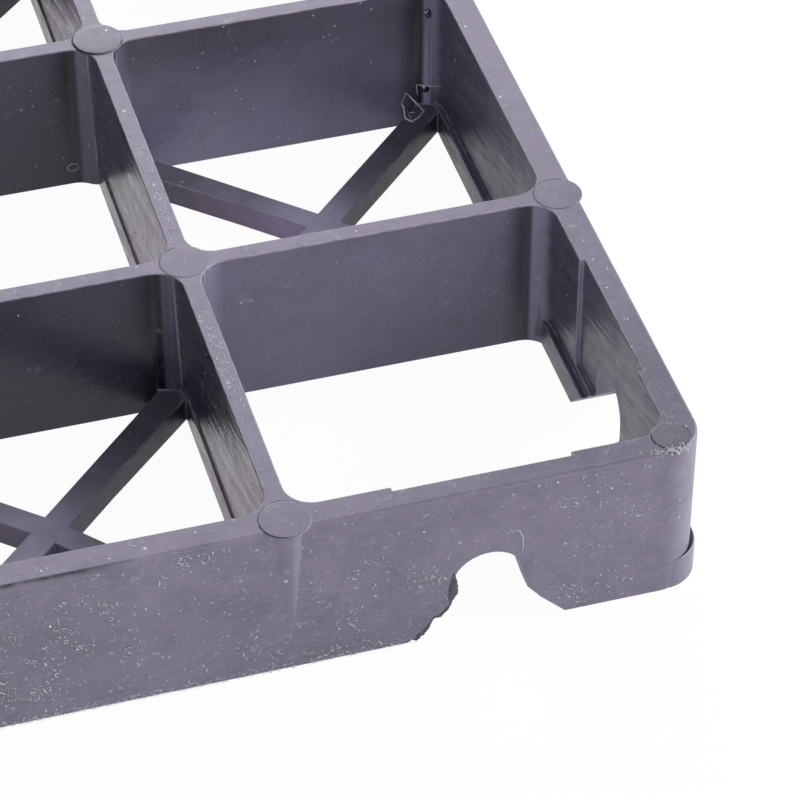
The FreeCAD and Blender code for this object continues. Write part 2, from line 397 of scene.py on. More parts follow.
def bevelled_grid():
    """The moulding with all its sharp edges slightly rounded and marked as worn, which lightens them, partly
    as a painted highlight.
    """
    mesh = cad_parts[NODE].data.copy()
    bm = bmesh.new()
    bm.from_mesh(mesh)
    bmesh.ops.remove_doubles(bm, verts=bm.verts, dist=0.002 * MM)
    split_at_cells(bm)
    bmesh.ops.dissolve_limit(
        bm, angle_limit=math.radians(0.3), verts=bm.verts, edges=bm.edges,
        use_dissolve_boundaries=False, delimit={"SEAM"},
    )
    below_rounding = [edge for edge in bm.edges if all(vert.co.z < 37 * MM for vert in edge.verts)]
    bmesh.ops.dissolve_degenerate(bm, edges=below_rounding, dist=0.17 * MM)
    narrow_plinths(bm)
    lean_flank(bm)
    flatten_band(bm)
    sharp = [edge for edge in bm.edges if is_sharp(edge)]
    wear_and_highlight = bm.faces.layers.float.new("wear_and_highlight")
    rounded = bmesh.ops.bevel(
        bm, geom=sharp, offset=EDGE_ROUNDING * MM, offset_type="OFFSET", segments=2, profile=0.5,
        affect="EDGES", clamp_overlap=False, loop_slide=True,
    )
    # The rounded faces are marked worn, partly as a painted edge highlight.
    for face in rounded["faces"]:
        face[wear_and_highlight] = 1
    # Tones of the faces, with painted shade and light inside the cells.
    tone_and_painted_shading = bm.faces.layers.float.new("tone_and_painted_shading")
    inside = bm.faces.layers.float.new("inside")
    walls = painted_wall_shades()
    for face in bm.faces:
        face[tone_and_painted_shading], face[inside] = painted_face_shading(face, walls)
        face.smooth = True
    warp_bars(bm)
    bm.to_mesh(mesh)
    surface = BVHTree.FromBMesh(bm)
    bm.free()
    grid = add_object("moulding", mesh)
    normals = grid.modifiers.new("flat_faces_first", "WEIGHTED_NORMAL")
    normals.keep_sharp = True
    return grid, surface


def band_section(bm, side, angle, foot_y, top_y):
    """Points across the band where it lies at an angle round the corner. It runs out at BAND_END."""
    out_x = math.cos(math.radians(angle))
    out_y = math.copysign(math.sin(math.radians(angle)), foot_y)
    end = math.cos(math.radians(BAND_END))
    proud = SEEN_BAND_PROUD * (out_x - end) / (1 - end)
    edge = max(0, min(0.25, proud / 2))
    outline = [
        (-0.4, foot_y, 0.02), (proud, foot_y, 0.02), (proud, top_y, SEEN_BAND_RISE - edge),
        (proud - edge, top_y, SEEN_BAND_RISE), (-0.4, top_y, SEEN_BAND_RISE),
    ]
    wall_x = FACE_X - CORNER_RADIUS + CORNER_RADIUS * out_x
    section = []
    for reach, y, z in outline:
        section.append(bm.verts.new(Vector((side * (wall_x + reach * out_x), y + reach * out_y, z)) * MM))
    return section


def band_runs():
    """The runs of the band along one side, as (angle round the corner, y at the foot, y at the top)."""
    flare = NOTCH_REACH - SEEN_BAND_RISE
    corner = []
    for angle in range(BAND_END + 4, -1, -4):
        y = -FACE_Y + CORNER_RADIUS - CORNER_RADIUS * math.sin(math.radians(angle))
        corner.append((angle, y, y))
    front = corner + [(0, -NOTCH_MIDDLE - NOTCH_REACH, -NOTCH_MIDDLE - flare)]
    middle = [
        (0, -NOTCH_MIDDLE + NOTCH_REACH, -NOTCH_MIDDLE + flare),
        (0, NOTCH_MIDDLE - NOTCH_REACH, NOTCH_MIDDLE - flare),
    ]
    back = [(angle, -foot_y, -top_y) for angle, foot_y, top_y in front]
    return front, middle, back


def foot_band():
    """The low band round the foot of the left and right sides, with a painted shadow on its ledge."""
    bm = bmesh.new()
    seam = bm.faces.layers.float.new("seam")
    tone_and_painted_shading = bm.faces.layers.float.new("tone_and_painted_shading")
    wear_and_highlight = bm.faces.layers.float.new("wear_and_highlight")
    for side in (-1, 1):
        for run in band_runs():
            sections = [band_section(bm, side, *spot) for spot in run]
            for number, face in enumerate(join_rings(bm, sections)):
                corner = number % len(sections[0])
                # Painted shadow on the ledge of the band.
                face[seam] = corner == 3
                # The rounded outer edge is marked worn, partly as a painted highlight.
                face[wear_and_highlight] = corner == 2
    for face in bm.faces:
        face[tone_and_painted_shading] = 1
        face.smooth = True
    bmesh.ops.recalc_face_normals(bm, faces=bm.faces)
    band = add_built("foot_band", bm)
    band.modifiers.new("flat_faces_first", "WEIGHTED_NORMAL")
    return band


def ring_stack(bm, rings, segments=40):
    """A closed round form through rings given as (middle x, middle y, height, radius)."""
    loops = []
    for x, y, z, radius in rings:
        loop = []
        for number in range(segments):
            angle = 2 * math.pi * number / segments
            place = Vector((x + radius * math.cos(angle), y + radius * math.sin(angle), z)) * MM
            loop.append(bm.verts.new(place))
        loops.append(loop)
    return join_rings(bm, loops)


def disc_middle(column, row):
    """Where an ejector disc sits: on the crossing, and a little inwards at the rim."""
    x, y = CROSSINGS[column], CROSSINGS[row]
    at_x, at_y = column in (0, CELLS), row in (0, CELLS)
    if at_x and at_y:
        return math.copysign(CORNER_DISC[0], x), math.copysign(CORNER_DISC[1], y)
    if at_x:
        x = math.copysign(RIM_DISC[0], x)
    if at_y:
        y = math.copysign(RIM_DISC[1], y)
    return x, y


def add_disc(bm, seam, x, y, radius, rise, line):
    """A disc left by an ejector pin, with a dark line round part of it: a witness line with painted shade of
    the disc's step.
    """
    rings = [
        (x, y, DEPTH - 0.9, radius - 0.3), (x, y, DEPTH - 0.15, radius + 0.3),
        (x, y, DEPTH + 0.01, radius + 0.3), (x, y, DEPTH + 0.012, radius),
        (x, y, DEPTH + rise * 0.6, radius - 0.03),
        (x, y, DEPTH + rise, radius - 0.15), (x, y, DEPTH + rise, radius * 0.6),
    ]
    faces = ring_stack(bm, rings)
    around = len(faces) // (len(rings) - 1)
    # The dark line round the disc's foot, partly painted shade of its step.
    for number, face in enumerate(faces[2 * around:4 * around]):
        angle = 360 * (number % around) / around
        face[seam] = line[0] <= angle <= line[1] or line[0] <= angle + 360 <= line[1]


def add_column(bm, x, y):
    """The ejector pin's boss on an outer wall, which fades into the wall downwards."""
    rings = []
    for z, proud in reversed(BOSS_PROFILE):
        if abs(y) > abs(x):
            rings.append((x, math.copysign(FACE_Y + proud - BOSS_RADIUS, y), z, BOSS_RADIUS))
        else:
            rings.append((math.copysign(FACE_X + proud * 0.6 - BOSS_RADIUS, x), y, z, BOSS_RADIUS))
    ring_stack(bm, rings)


def ejector_marks():
    """Discs on the top of every crossing, and bosses below them on the outer walls."""
    chance = random.Random(17)
    bm = bmesh.new()
    seam = bm.faces.layers.float.new("seam")
    for column in range(CELLS + 1):
        for row in range(CELLS + 1):
            x, y = disc_middle(column, row)
            edges = (column in (0, CELLS)) + (row in (0, CELLS))
            raised = (3 * column + 5 * row) % 7 == 4 and not edges
            radius = RAISED_RADIUS if raised else DISC_RADII[edges]
            start = chance.uniform(0, 360)
            line = SEEN_LINES_AND_SHADOWS.get((column, row), (start, start + chance.uniform(40, 300)))
            add_disc(bm, seam, x, y, radius, RAISED_RISE if raised else DISC_RISE, line)
            if edges == 1:
                add_column(bm, x, y)
    tone_and_painted_shading = bm.faces.layers.float.new("tone_and_painted_shading")
    bm.normal_update()
    for face in bm.faces:
        face[tone_and_painted_shading] = 1
        if face.normal.z > 0.7:
            face[tone_and_painted_shading] = DISC_TONE
        # Painted light on the right side of the bosses on the front wall.
        elif face.normal.x > 0.1 and face.normal.y < -0.5:
            face[tone_and_painted_shading] = BOSS_SIDE_PAINTED_LIGHT
        face.smooth = True
    marks = add_built("ejector_marks", bm)
    marks.modifiers.new("flat_faces_first", "WEIGHTED_NORMAL")
    return marks


class Graph:
    """Short ways to add nodes to one material."""

    def __init__(self, name):
        self.material = bpy.data.materials.new(name)
        self.material.use_nodes = True
        self.tree = self.material.node_tree
        self.shader = self.tree.nodes["Principled BSDF"]
        self.place = self.node("ShaderNodeTexCoord").outputs["Object"]

    def node(self, kind, **settings):
        node = self.tree.nodes.new(kind)
        for name, setting in settings.items():
            setattr(node, name, setting)
        return node

    def feed(self, socket, source):
        """Give a socket a number, a colour or another node's output."""
        if isinstance(source, bpy.types.NodeSocket):
            self.tree.links.new(source, socket)
        else:
            socket.default_value = source

    def math(self, operation, first, second=0.0):
        node = self.node("ShaderNodeMath", operation=operation)
        self.feed(node.inputs[0], first)
        self.feed(node.inputs[1], second)
        return node.outputs[0]

    def stretched(self, scale):
        """The place on the object, scaled along each axis."""
        node = self.node("ShaderNodeVectorMath", operation="MULTIPLY")
        self.feed(node.inputs[0], self.place)
        node.inputs[1].default_value = scale
        return node.outputs[0]

    def noise(self, scale, detail=2.0, distortion=0.0, place=None):
        node = self.node("ShaderNodeTexNoise")
        self.feed(node.inputs["Vector"], place or self.place)
        node.inputs["Scale"].default_value = scale
        node.inputs["Detail"].default_value = detail
        node.inputs["Distortion"].default_value = distortion
        return node.outputs["Fac"]

    def apart(self, vector):
        """The three parts of a vector."""
        node = self.node("ShaderNodeSeparateXYZ")
        self.feed(node.inputs[0], vector)
        return node.outputs[0], node.outputs[1], node.outputs[2]

    def together(self, *parts):
        node = self.node("ShaderNodeCombineXYZ")
        for socket, part in zip(node.inputs, parts):
            self.feed(socket, part)
        return node.outputs[0]

    def times(self, *factors):
        """The product of several numbers."""
        product = factors[0]
        for factor in factors[1:]:
            product = self.math("MULTIPLY", product, factor)
        return product

    def darken(self, shade, mask, depth):
        """A shade made darker by a share of depth where a mask is 1."""
        return self.math("MULTIPLY", shade, self.math("SUBTRACT", 1.0, self.math("MULTIPLY", mask, depth)))

    def away_from(self, spot):
        node = self.node("ShaderNodeVectorMath", operation="DISTANCE")
        self.feed(node.inputs[0], self.place)
        node.inputs[1].default_value = spot
        return node.outputs["Value"]

    def ramp(self, value, low, high, start=0.0, end=1.0):
        """A value brought from low..high to start..end, and kept inside."""
        node = self.node("ShaderNodeMapRange")
        node.clamp = True
        self.feed(node.inputs["Value"], value)
        for name, number in (("From Min", low), ("From Max", high), ("To Min", start), ("To Max", end)):
            node.inputs[name].default_value = number
        return node.outputs["Result"]

    def attribute(self, name):
        return self.node("ShaderNodeAttribute", attribute_name=name).outputs["Fac"]

    def mix(self, share, first, second, blend="MIX"):
        """Two colours mixed or blended."""
        node = self.node("ShaderNodeMix", data_type="RGBA", blend_type=blend)
        self.feed(node.inputs["Factor"], share)
        for socket, colour in ((node.inputs["A"], first), (node.inputs["B"], second)):
            self.feed(socket, colour if isinstance(colour, bpy.types.NodeSocket) else (*colour, 1))
        return node.outputs["Result"]

    def facing(self):
        """How much a face looks along each axis, either way."""
        normal = self.node("ShaderNodeNewGeometry").outputs["True Normal"]
        return [self.ramp(self.math("ABSOLUTE", part), 0.75, 0.95) for part in self.apart(normal)]

    def bump(self, height, distance):
        node = self.node("ShaderNodeBump")
        node.inputs["Distance"].default_value = distance
        self.feed(node.inputs["Height"], height)
        self.feed(self.shader.inputs["Normal"], node.outputs["Normal"])


def flecks(g, scale, size, share):
    """Small light specks, one in a share of the cells of a pattern."""
    cells = g.node("ShaderNodeTexVoronoi")
    g.feed(cells.inputs["Vector"], g.place)
    cells.inputs["Scale"].default_value = scale
    near = g.ramp(cells.outputs["Distance"], size, size * 0.5)
    chosen = g.math("GREATER_THAN", cells.outputs["Color"], 1 - share)
    return g.math("MULTIPLY", near, chosen)


def in_cell(g, part):
    """How far across its cell a point lies, from 0 to 1."""
    return g.math("FRACT", g.math("DIVIDE", g.math("ADD", part, GRID_EDGE * MM), PITCH * MM))


def streaked_floor_reflection(g, x, y, z, flow):
    """Painted reflection of the floor, streaked by the flow lines, on the near and low part of the inner
    walls along the cells.
    """
    to_far_wall = g.math("MULTIPLY", g.math("SUBTRACT", 1.0, in_cell(g, y)), PITCH * MM)
    ahead = g.math("SUBTRACT", to_far_wall, g.math("MULTIPLY", z, 1.1))
    patchy = g.ramp(flow, -0.5, 0.3, 0.45, 1)
    return g.times(g.ramp(ahead, 0.009, 0.025), g.ramp(x, 0.19, 0.2, 1, 0.2), patchy)


def smudges(g):
    """Small pale marks, longer than they are high."""
    marks = g.ramp(g.noise(1, 4, 1.2, g.stretched((420, 420, 800))), 0.58, 0.7)
    return g.math("MULTIPLY", marks, g.ramp(g.noise(45, 2), 0.4, 0.62, 0.15, 1))


def top_crease(g, x, y, z):
    """The dark crease along the top edge of the front wall, where the photograph leaves the grid."""
    rough = g.ramp(g.noise(400, 3), 0.35, 0.6, 0.25, 1)
    across = g.times(g.ramp(y, -0.2483, -0.2481), g.ramp(y, -0.2478, -0.2475, 1, 0))
    along = g.times(g.ramp(x, 0.122, 0.135, 0.85, 0), g.ramp(x, 0.05, 0.08))
    return g.times(rough, across, along, g.ramp(z, 0.0368, 0.0371))


def flow_lines(g, x, y, z):
    """Long wavy lines in which the plastic ran, nearly level along the walls."""
    climbing = g.math("ADD", z, g.math("MULTIPLY", y, 0.29))
    drawn = g.together(g.times(x, 300.0), g.times(y, 30.0), g.times(climbing, 330.0))
    return g.ramp(g.noise(1, 3, 0.9, drawn), 0.32, 0.68, -0.5, 0.5)


def bar_light(g, x, y, z):
    """Painted light on the crossed bars at their crossing, and painted shade on them near the walls."""
    u = g.math("SUBTRACT", in_cell(g, x), 0.5)
    v = g.math("SUBTRACT", in_cell(g, y), 0.5)
    away = g.math("SQRT", g.math("ADD", g.math("MULTIPLY", u, u), g.math("MULTIPLY", v, v)))
    reach = g.math("MAXIMUM", g.math("ABSOLUTE", u), g.math("ABSOLUTE", v))
    on_bar = g.times(g.ramp(z, 0.0064, 0.0068, 1, 0), g.ramp(reach, 0.455, 0.465, 1, 0))
    return g.times(on_bar, g.ramp(away, 0.08, 0.25, 1, 0)), g.times(on_bar, g.ramp(away, 0.27, 0.43))


def mottled(g, clouds, grain, mottle):
    """How light the plastic is: cloudy, blotched and grainy, times the tone and painted shading of the face.
    """
    blotches = g.noise(110, 4, 0.6)
    shade = g.math("ADD", g.ramp(clouds, 0.3, 0.7, 0.88, 1.08), g.ramp(grain, 0.25, 0.75, -0.07, 0.07))
    shade = g.math("ADD", shade, g.ramp(mottle, 0.3, 0.7, -0.06, 0.06))
    shade = g.math("ADD", shade, g.ramp(blotches, 0.3, 0.7, -0.07, 0.07))
    return g.math("MULTIPLY", shade, g.attribute("tone_and_painted_shading"))


def shade_in_cells(g, shade, place, faces, inside):
    """Painted shadow beside the posts, painted light on the posts and on the foot of a far wall, and painted
    shade on the tops near the seen corner.
    """
    x, y, z = place
    face_x, face_y, face_z = faces
    along = in_cell(g, x)
    # Painted shadow beside the posts.
    post_shadow = g.times(g.ramp(along, 0.85, 0.922), g.ramp(along, 0.924, 0.932, 1, 0))
    shade = g.darken(shade, g.times(post_shadow, inside, face_y), 0.9)
    # Painted light on the posts.
    lit_post = g.times(g.ramp(along, 0.925, 0.934), inside, g.math("SUBTRACT", 1.0, face_x))
    shade = g.darken(shade, lit_post, -1.0)
    # Painted light on the foot of a far wall.
    lit_foot = g.times(g.ramp(x, 0.165, 0.17), g.ramp(y, -0.16, -0.15), g.ramp(z, 0.004, 0.032, 1, 0))
    shade = g.darken(shade, g.times(lit_foot, inside, face_y), -2.1)
    # Painted shade on the tops near the seen corner.
    corner_shade = g.ramp(g.away_from(SHADED_CORNER), 0.02, 0.085, 1, 0)
    return g.darken(shade, g.times(corner_shade, face_z), 0.3)


def marked(g, colour, outside, crease):
    """A colour with smudges, worn edges with a painted highlight, scuffs, specks, and dark lines with painted
    shade over it.
    """
    colour = g.mix(g.times(smudges(g), outside, 0.4), colour, SMUDGE_COLOR)
    # Worn edges, made lighter partly as a painted highlight on the rounded edges.
    wear_and_highlight_share = g.math("MULTIPLY", g.attribute("wear_and_highlight"), g.ramp(g.noise(210, 4), 0.38, 0.62, 0.1, 0.75))
    colour = g.mix(wear_and_highlight_share, colour, WEAR_AND_HIGHLIGHT_COLOR)
    scuffs = g.ramp(g.noise(120, 6, 2.5), 0.63, 0.72, 0, 0.4)
    scuffs = g.math("MULTIPLY", scuffs, g.ramp(g.noise(900, 2), 0.45, 0.6))
    colour = g.mix(scuffs, colour, SCUFF_COLOR)
    specks = g.math("MAXIMUM", flecks(g, 330, 0.16, 0.16), flecks(g, 800, 0.24, 0.1))
    colour = g.mix(g.math("MULTIPLY", specks, 0.8), colour, SPECK_COLOR)
    # Dark lines: witness lines round the discs with painted shade of their step, a painted shadow on the
    # band's ledge, and the crease.
    line = g.math("MULTIPLY", g.attribute("seam"), g.ramp(g.noise(75, 1), 0.3, 0.45, 0.5, 1))
    return g.mix(g.math("MAXIMUM", line, crease), colour, LINE_AND_SHADOW_COLOR)


def plastic():
    """Recycled plastic: mottled, streaked where it flowed, with worn edges and specks, and with painted
    light, shade and reflection.
    """
    g = Graph("worn_plastic")
    faces = g.facing()
    place = g.apart(g.place)
    inside = g.attribute("inside")
    outside = g.math("SUBTRACT", 1.0, inside)
    clouds = g.noise(28, 3, 0.4)
    grain = g.noise(1500, 3)
    mottle = g.noise(260, 3)
    dashes = g.ramp(g.noise(1, 3, 0.5, g.stretched((300, 300, 1300))), 0.3, 0.7, -0.5, 0.5)
    dashes = g.times(dashes, faces[1], outside)
    flow = g.times(flow_lines(g, *place), faces[0], inside)
    crossing, shaded_bar_ends = bar_light(g, *place)
    shade = mottled(g, clouds, grain, mottle)
    # Painted light at the crossing of the bars, and painted shade near their ends.
    shade = g.darken(shade, g.times(crossing, outside), -1.1)
    shade = g.darken(shade, g.times(shaded_bar_ends, outside), 0.38)
    shade = g.math("ADD", shade, g.math("MULTIPLY", dashes, 0.1))
    shade = g.math("ADD", shade, g.math("MULTIPLY", flow, 0.3))
    shade = shade_in_cells(g, shade, place, faces, inside)
    # Painted shade: the walls inside the cells take the bluer copy of the plastic colour.
    grey = g.mix(inside, PLASTIC_COLOR, SHADED_CELL_COLOR)
    grey = g.mix(g.ramp(g.noise(60, 2), 0.35, 0.65, 0, 0.12), grey, MOTTLE_COLOR)
    colour = g.mix(1.0, grey, shade, "MULTIPLY")
    # Painted reflection of the floor on the inner walls that face along x.
    colour = g.mix(g.times(streaked_floor_reflection(g, *place, flow), faces[0], inside), colour, FLOOR_REFLECTION_COLOR)
    g.feed(g.shader.inputs["Base Color"], marked(g, colour, outside, top_crease(g, *place)))
    polish = g.math("ADD", g.ramp(clouds, 0.3, 0.7, 0.4, 0.5), g.ramp(mottle, 0.3, 0.7, -0.05, 0.05))
    polish = g.math("ADD", polish, g.math("MULTIPLY", inside, g.ramp(place[0], 0.19, 0.2, -0.18, -0.08)))
    polish = g.math("ADD", polish, g.math("MULTIPLY", flow, 0.15))
    g.feed(g.shader.inputs["Roughness"], polish)
    g.shader.inputs["Specular Tint"].default_value = GLOSS_TINT
    relief = g.math("ADD", g.math("MULTIPLY", grain, 0.25), g.math("MULTIPLY", mottle, 0.5))
    relief = g.math("ADD", relief, g.math("MULTIPLY", flow, 0.8))
    relief = g.math("ADD", relief, g.math("MULTIPLY", dashes, 0.2))
    g.bump(relief, 0.00012)
    return g.material


def torn_plastic():
    """Dark, rough plastic where the moulding broke."""
    g = Graph("torn_plastic")
    rough = g.noise(900, 4, 1)
    g.feed(g.shader.inputs["Base Color"], g.mix(g.ramp(rough, 0.3, 0.7), *TORN_COLORS))
    g.feed(g.shader.inputs["Roughness"], g.ramp(rough, 0.3, 0.7, 0.6, 0.9))
    g.bump(rough, 0.0004)
    return g.material


def shavings(name, dull, bright):
    """Pale shaved plastic and lint."""
    g = Graph(name)
    vary = g.noise(420, 2)
    g.feed(g.shader.inputs["Base Color"], g.mix(g.ramp(vary, 0.35, 0.65), dull, bright))
    g.feed(g.shader.inputs["Roughness"], g.ramp(vary, 0.3, 0.7, 0.45, 0.7))
    g.bump(vary, 0.00005)
    return g.material


def add_tube(bm, points, radius):
    """A thin three-sided thread through points in millimetres, tapered at both ends."""
    places = [Vector(point) * MM for point in points]
    loops = []
    for number, place in enumerate(places):
        ahead = places[min(number + 1, len(places) - 1)] - places[max(number - 1, 0)]
        aside = ahead.orthogonal().normalized()
        across = ahead.cross(aside).normalized()
        width = radius * MM * (0.35 if number in (0, len(places) - 1) else 1)
        loop = []
        for corner in range(3):
            angle = 2 * math.pi * corner / 3
            loop.append(bm.verts.new(place + width * (math.cos(angle) * aside + math.sin(angle) * across)))
        loops.append(loop)
    join_rings(bm, loops)


def add_crumb(bm, place, size, chance):
    """A small angular crumb."""
    turn = Matrix.Rotation(chance.uniform(0, TURN), 3, "Z") @ Matrix.Rotation(chance.uniform(0, TURN), 3, "X")
    verts = []
    for arm in CRUMB_ARMS:
        reach = size * chance.uniform(0.5, 1.2)
        verts.append(bm.verts.new((Vector(place) + turn @ Vector(arm) * reach) * MM))
    for first, second in ((0, 1), (1, 2), (2, 0)):
        bm.faces.new((verts[first], verts[second], verts[3]))
        bm.faces.new((verts[second], verts[first], verts[4]))


def side_point(side, along, z, proud):
    """A point on an outer face: front, right, back or left."""
    if side == "front":
        return (along, -FACE_Y - proud, z)
    if side == "back":
        return (-along, FACE_Y + proud, z)
    if side == "right":
        return (FACE_X + proud, along, z)
    return (-FACE_X - proud, -along, z)


def in_notch(along, z):
    """True where an outer face is cut away by a drain notch."""
    beside = abs(abs(along) - NOTCH_MIDDLE)
    in_arch = beside < 8.5 and z < 22
    in_flare = beside < 18 and z < 18 - beside
    return in_arch or in_flare


def curl(start, heading, steps, step, chance):
    """Points of a short curly line on a plane."""
    points = [start]
    bend = chance.uniform(-0.9, 0.9)
    for _ in range(steps):
        heading += bend + chance.uniform(-0.35, 0.35)
        last = points[-1]
        points.append((last[0] + step * math.cos(heading), last[1] + step * math.sin(heading)))
    return points


def lint_on_side(bm, side, count, place, chance):
    """Curly fibres and crumbs that cling to one outer face, in loose clusters."""
    made = 0
    while made < count:
        heart = place(chance)
        for _ in range(chance.choice((1, 1, 2, 4, 6, 9))):
            along = heart[0] + chance.gauss(0, 2)
            z = heart[1] + chance.gauss(0, 1.5)
            if not 0.6 < z < 37 or in_notch(along, z) or abs(along) > 238:
                continue
            made += 1
            if chance.random() < 0.55:
                size = 0.08 + 0.26 * chance.random() ** 3
                add_crumb(bm, side_point(side, along, z, size * 0.4), size, chance)
            else:
                steps = chance.choice((2, 2, 3, 5))
                line = curl((along, z), chance.uniform(0, TURN), steps, chance.uniform(0.16, 0.4), chance)
                if all(0.3 < up < 37.1 for _, up in line):
                    radius = chance.uniform(0.04, 0.095)
                    add_tube(bm, [side_point(side, a, up, radius) for a, up in line], radius)


def anywhere(chance):
    """A place on an outer face, more often low down."""
    return chance.uniform(-FACE_X, FACE_X), DEPTH * chance.random() ** 1.25


def near_photo(chance):
    """A place on the seen part of the front face, in a cluster or more often at its left end."""
    if chance.random() < 0.24:
        return chance.choice(SEEN_LINT)
    return 85 + 165 * chance.random() ** 1.4, DEPTH * chance.random() ** 1.15


def on_top(x, y):
    """True where a point lies on the top of a wall, away from its edges."""
    from_x = min(abs(x - crossing) for crossing in CROSSINGS)
    from_y = min(abs(y - crossing) for crossing in CROSSINGS)
    inside = abs(x) < FACE_X - 1 and abs(y) < FACE_Y - 1
    return inside and (from_x < 1.6 or from_y < 1.6)


def crumbs_on_top(bm, count, chance):
    """Crumbs on the tops of the walls."""
    made = 0
    while made < count:
        x = chance.uniform(-FACE_X, FACE_X)
        y = chance.uniform(-FACE_Y, FACE_Y)
        if chance.random() < 0.5:
            x = chance.choice(CROSSINGS) + chance.uniform(-1.7, 1.7)
        else:
            y = chance.choice(CROSSINGS) + chance.uniform(-1.7, 1.7)
        if on_top(x, y):
            made += 1
            size = 0.07 + 0.2 * chance.random() ** 3
            add_crumb(bm, (x, y, DEPTH + size * 0.3), size, chance)


def crumbs_in_cells(bm, count, chance):
    """Crumbs on the four walls inside each cell, away from its corners and from the recesses of the rim."""
    for _ in range(count):
        cell = (chance.randrange(CELLS), chance.randrange(CELLS))
        across = chance.choice((0, 1))
        side = chance.choice((0, 1))
        along = chance.uniform(-30, 30)
        z = chance.uniform(9, 37)
        size = 0.09 + 0.22 * chance.random() ** 3
        wall = CROSSINGS[cell[across] + side]
        face = wall + (WALL / 2 if side == 0 else -WALL / 2)
        if cell[across] + side in (0, CELLS):
            face = math.copysign(RIM_INSIDE[across], wall)
            if abs(along) < 19:
                continue
        place = [face, face, z]
        place[1 - across] = CROSSINGS[cell[1 - across]] + PITCH / 2 + along
        add_crumb(bm, place, size, chance)


def corner_scuff(bm, chance):
    """Shaved plastic on the top edge of the corner towards the camera."""
    for number in range(150):
        along = chance.gauss(SCUFF_MIDDLE[0], 2.0)
        y = chance.gauss(SCUFF_MIDDLE[1], 0.5)
        drop = max(0.0, -247.45 - y)
        z = DEPTH - min(drop, 0.8) * 0.7 + 0.05
        if along > 246.5 or y < -248.3:
            continue
        if number % 3:
            add_crumb(bm, (along, y, z), chance.uniform(0.06, 0.28), chance)
        else:
            heading = chance.uniform(0, TURN)
            line = curl((along, y), heading, 3, chance.uniform(0.25, 0.5), chance)
            rising = [(a, b, z + 0.15 * step) for step, (a, b) in enumerate(line)]
            add_tube(bm, rising, chance.uniform(0.04, 0.09))


def top_scrapes(bm, chance):
    """Short pale scrapes across the top of the walls."""
    spots = list(SEEN_SCRAPES)
    for count, middle, spread in ((45, -196, 11), (40, -139, 9)):
        for _ in range(count):
            spots.append((CROSSINGS[5] + chance.uniform(-1.3, 0.9), chance.gauss(middle, spread)))
    for _ in range(70):
        x = chance.choice(CROSSINGS) + chance.uniform(-1, 0.7)
        spots.append((x, chance.uniform(-FACE_Y + 2, FACE_Y - 2)))
    for x, y in spots:
        for _ in range(4):
            start = (x + chance.uniform(-0.4, 0.1), y + chance.gauss(0, 0.6))
            line = curl(start, chance.gauss(0.1, 0.3), 2, chance.uniform(0.15, 0.35), chance)
            add_tube(bm, [(a, b, DEPTH + 0.03) for a, b in line], chance.uniform(0.04, 0.09))


def frayed_foot(bm, chance):
    """Fuzz of flash along the foot of the front wall."""
    first, last = FRAYED
    for _ in range(2600):
        along = chance.uniform(first, last)
        if chance.random() > 0.3 + 0.7 * (last - along) / (last - first):
            continue
        z = 0.1 + 1.7 * chance.random() ** 2
        heading = chance.uniform(0, TURN)
        reach = chance.uniform(0.1, 0.45)
        length = chance.uniform(0.15, 0.45)
        points = [(along, -FACE_Y + 0.03, z)]
        for stretch, proud, turned in ((1, 0.5, heading), (1.7, 1, heading + 0.5)):
            x = along + stretch * length * math.cos(turned)
            up = max(0.0, z + length * math.sin(turned))
            points.append((x, -FACE_Y - reach * proud, up))
        add_tube(bm, points, chance.uniform(0.03, 0.065))


def lint():
    """All the fibres and crumbs that cling to the grid."""
    chance = random.Random(11)
    bm = bmesh.new()
    lint_on_side(bm, "front", SEEN_FRONT_LINT, near_photo, chance)
    for side in ("front", "right", "back", "left"):
        lint_on_side(bm, side, SIDE_LINT, anywhere, chance)
    crumbs_on_top(bm, TOP_CRUMBS, chance)
    crumbs_in_cells(bm, CELL_CRUMBS, chance)
    top_scrapes(bm, chance)
    corner_scuff(bm, chance)
    frayed_foot(bm, chance)
    add_tube(bm, [side_point("front", x, z, 0.05) for x, z in SEEN_HAIR], 0.07)
    return add_built("lint", bm)


def torn_ring(bm, inner, outer, chance):
    """Points round the torn lip at one place, from its root on the face to deep in the wall."""
    half = inner.lerp(outer, 0.5)
    deep = inner - (outer - inner).normalized() * 1.2
    places = (
        (inner, -FACE_Y - 0.02), (half, -FACE_Y - 0.09 + chance.uniform(0, 0.1)),
        (outer, -FACE_Y + 0.35 + chance.uniform(-0.2, 0.2)),
        (outer, -FACE_Y + 2.05 + chance.uniform(-0.3, 0.3)),
        (half, -FACE_Y + 5.25), (deep, -FACE_Y + 5.25), (deep, -FACE_Y + 0.45),
    )
    return [bm.verts.new(Vector((spot.x, y, max(spot.y, 0.02))) * MM) for spot, y in places]


def torn_flare():
    """The torn lip on the left side of the front notch, from the arch down to the foot."""
    chance = random.Random(5)
    bm = bmesh.new()
    rings = []
    fine = 5
    for number in range((len(TORN_INNER) - 1) * fine + 1):
        step = min(number // fine, len(TORN_INNER) - 2)
        share = number / fine - step
        jag = Vector((chance.uniform(-0.16, 0.16), chance.uniform(-0.16, 0.16)))
        inner = Vector(TORN_INNER[step]).lerp(Vector(TORN_INNER[step + 1]), share) + 0.5 * jag
        outer = Vector(TORN_OUTER[step]).lerp(Vector(TORN_OUTER[step + 1]), share) + jag
        rings.append(torn_ring(bm, inner, outer, chance))
    join_rings(bm, rings)
    bmesh.ops.recalc_face_normals(bm, faces=bm.faces)
    return add_built("torn_flare", bm)


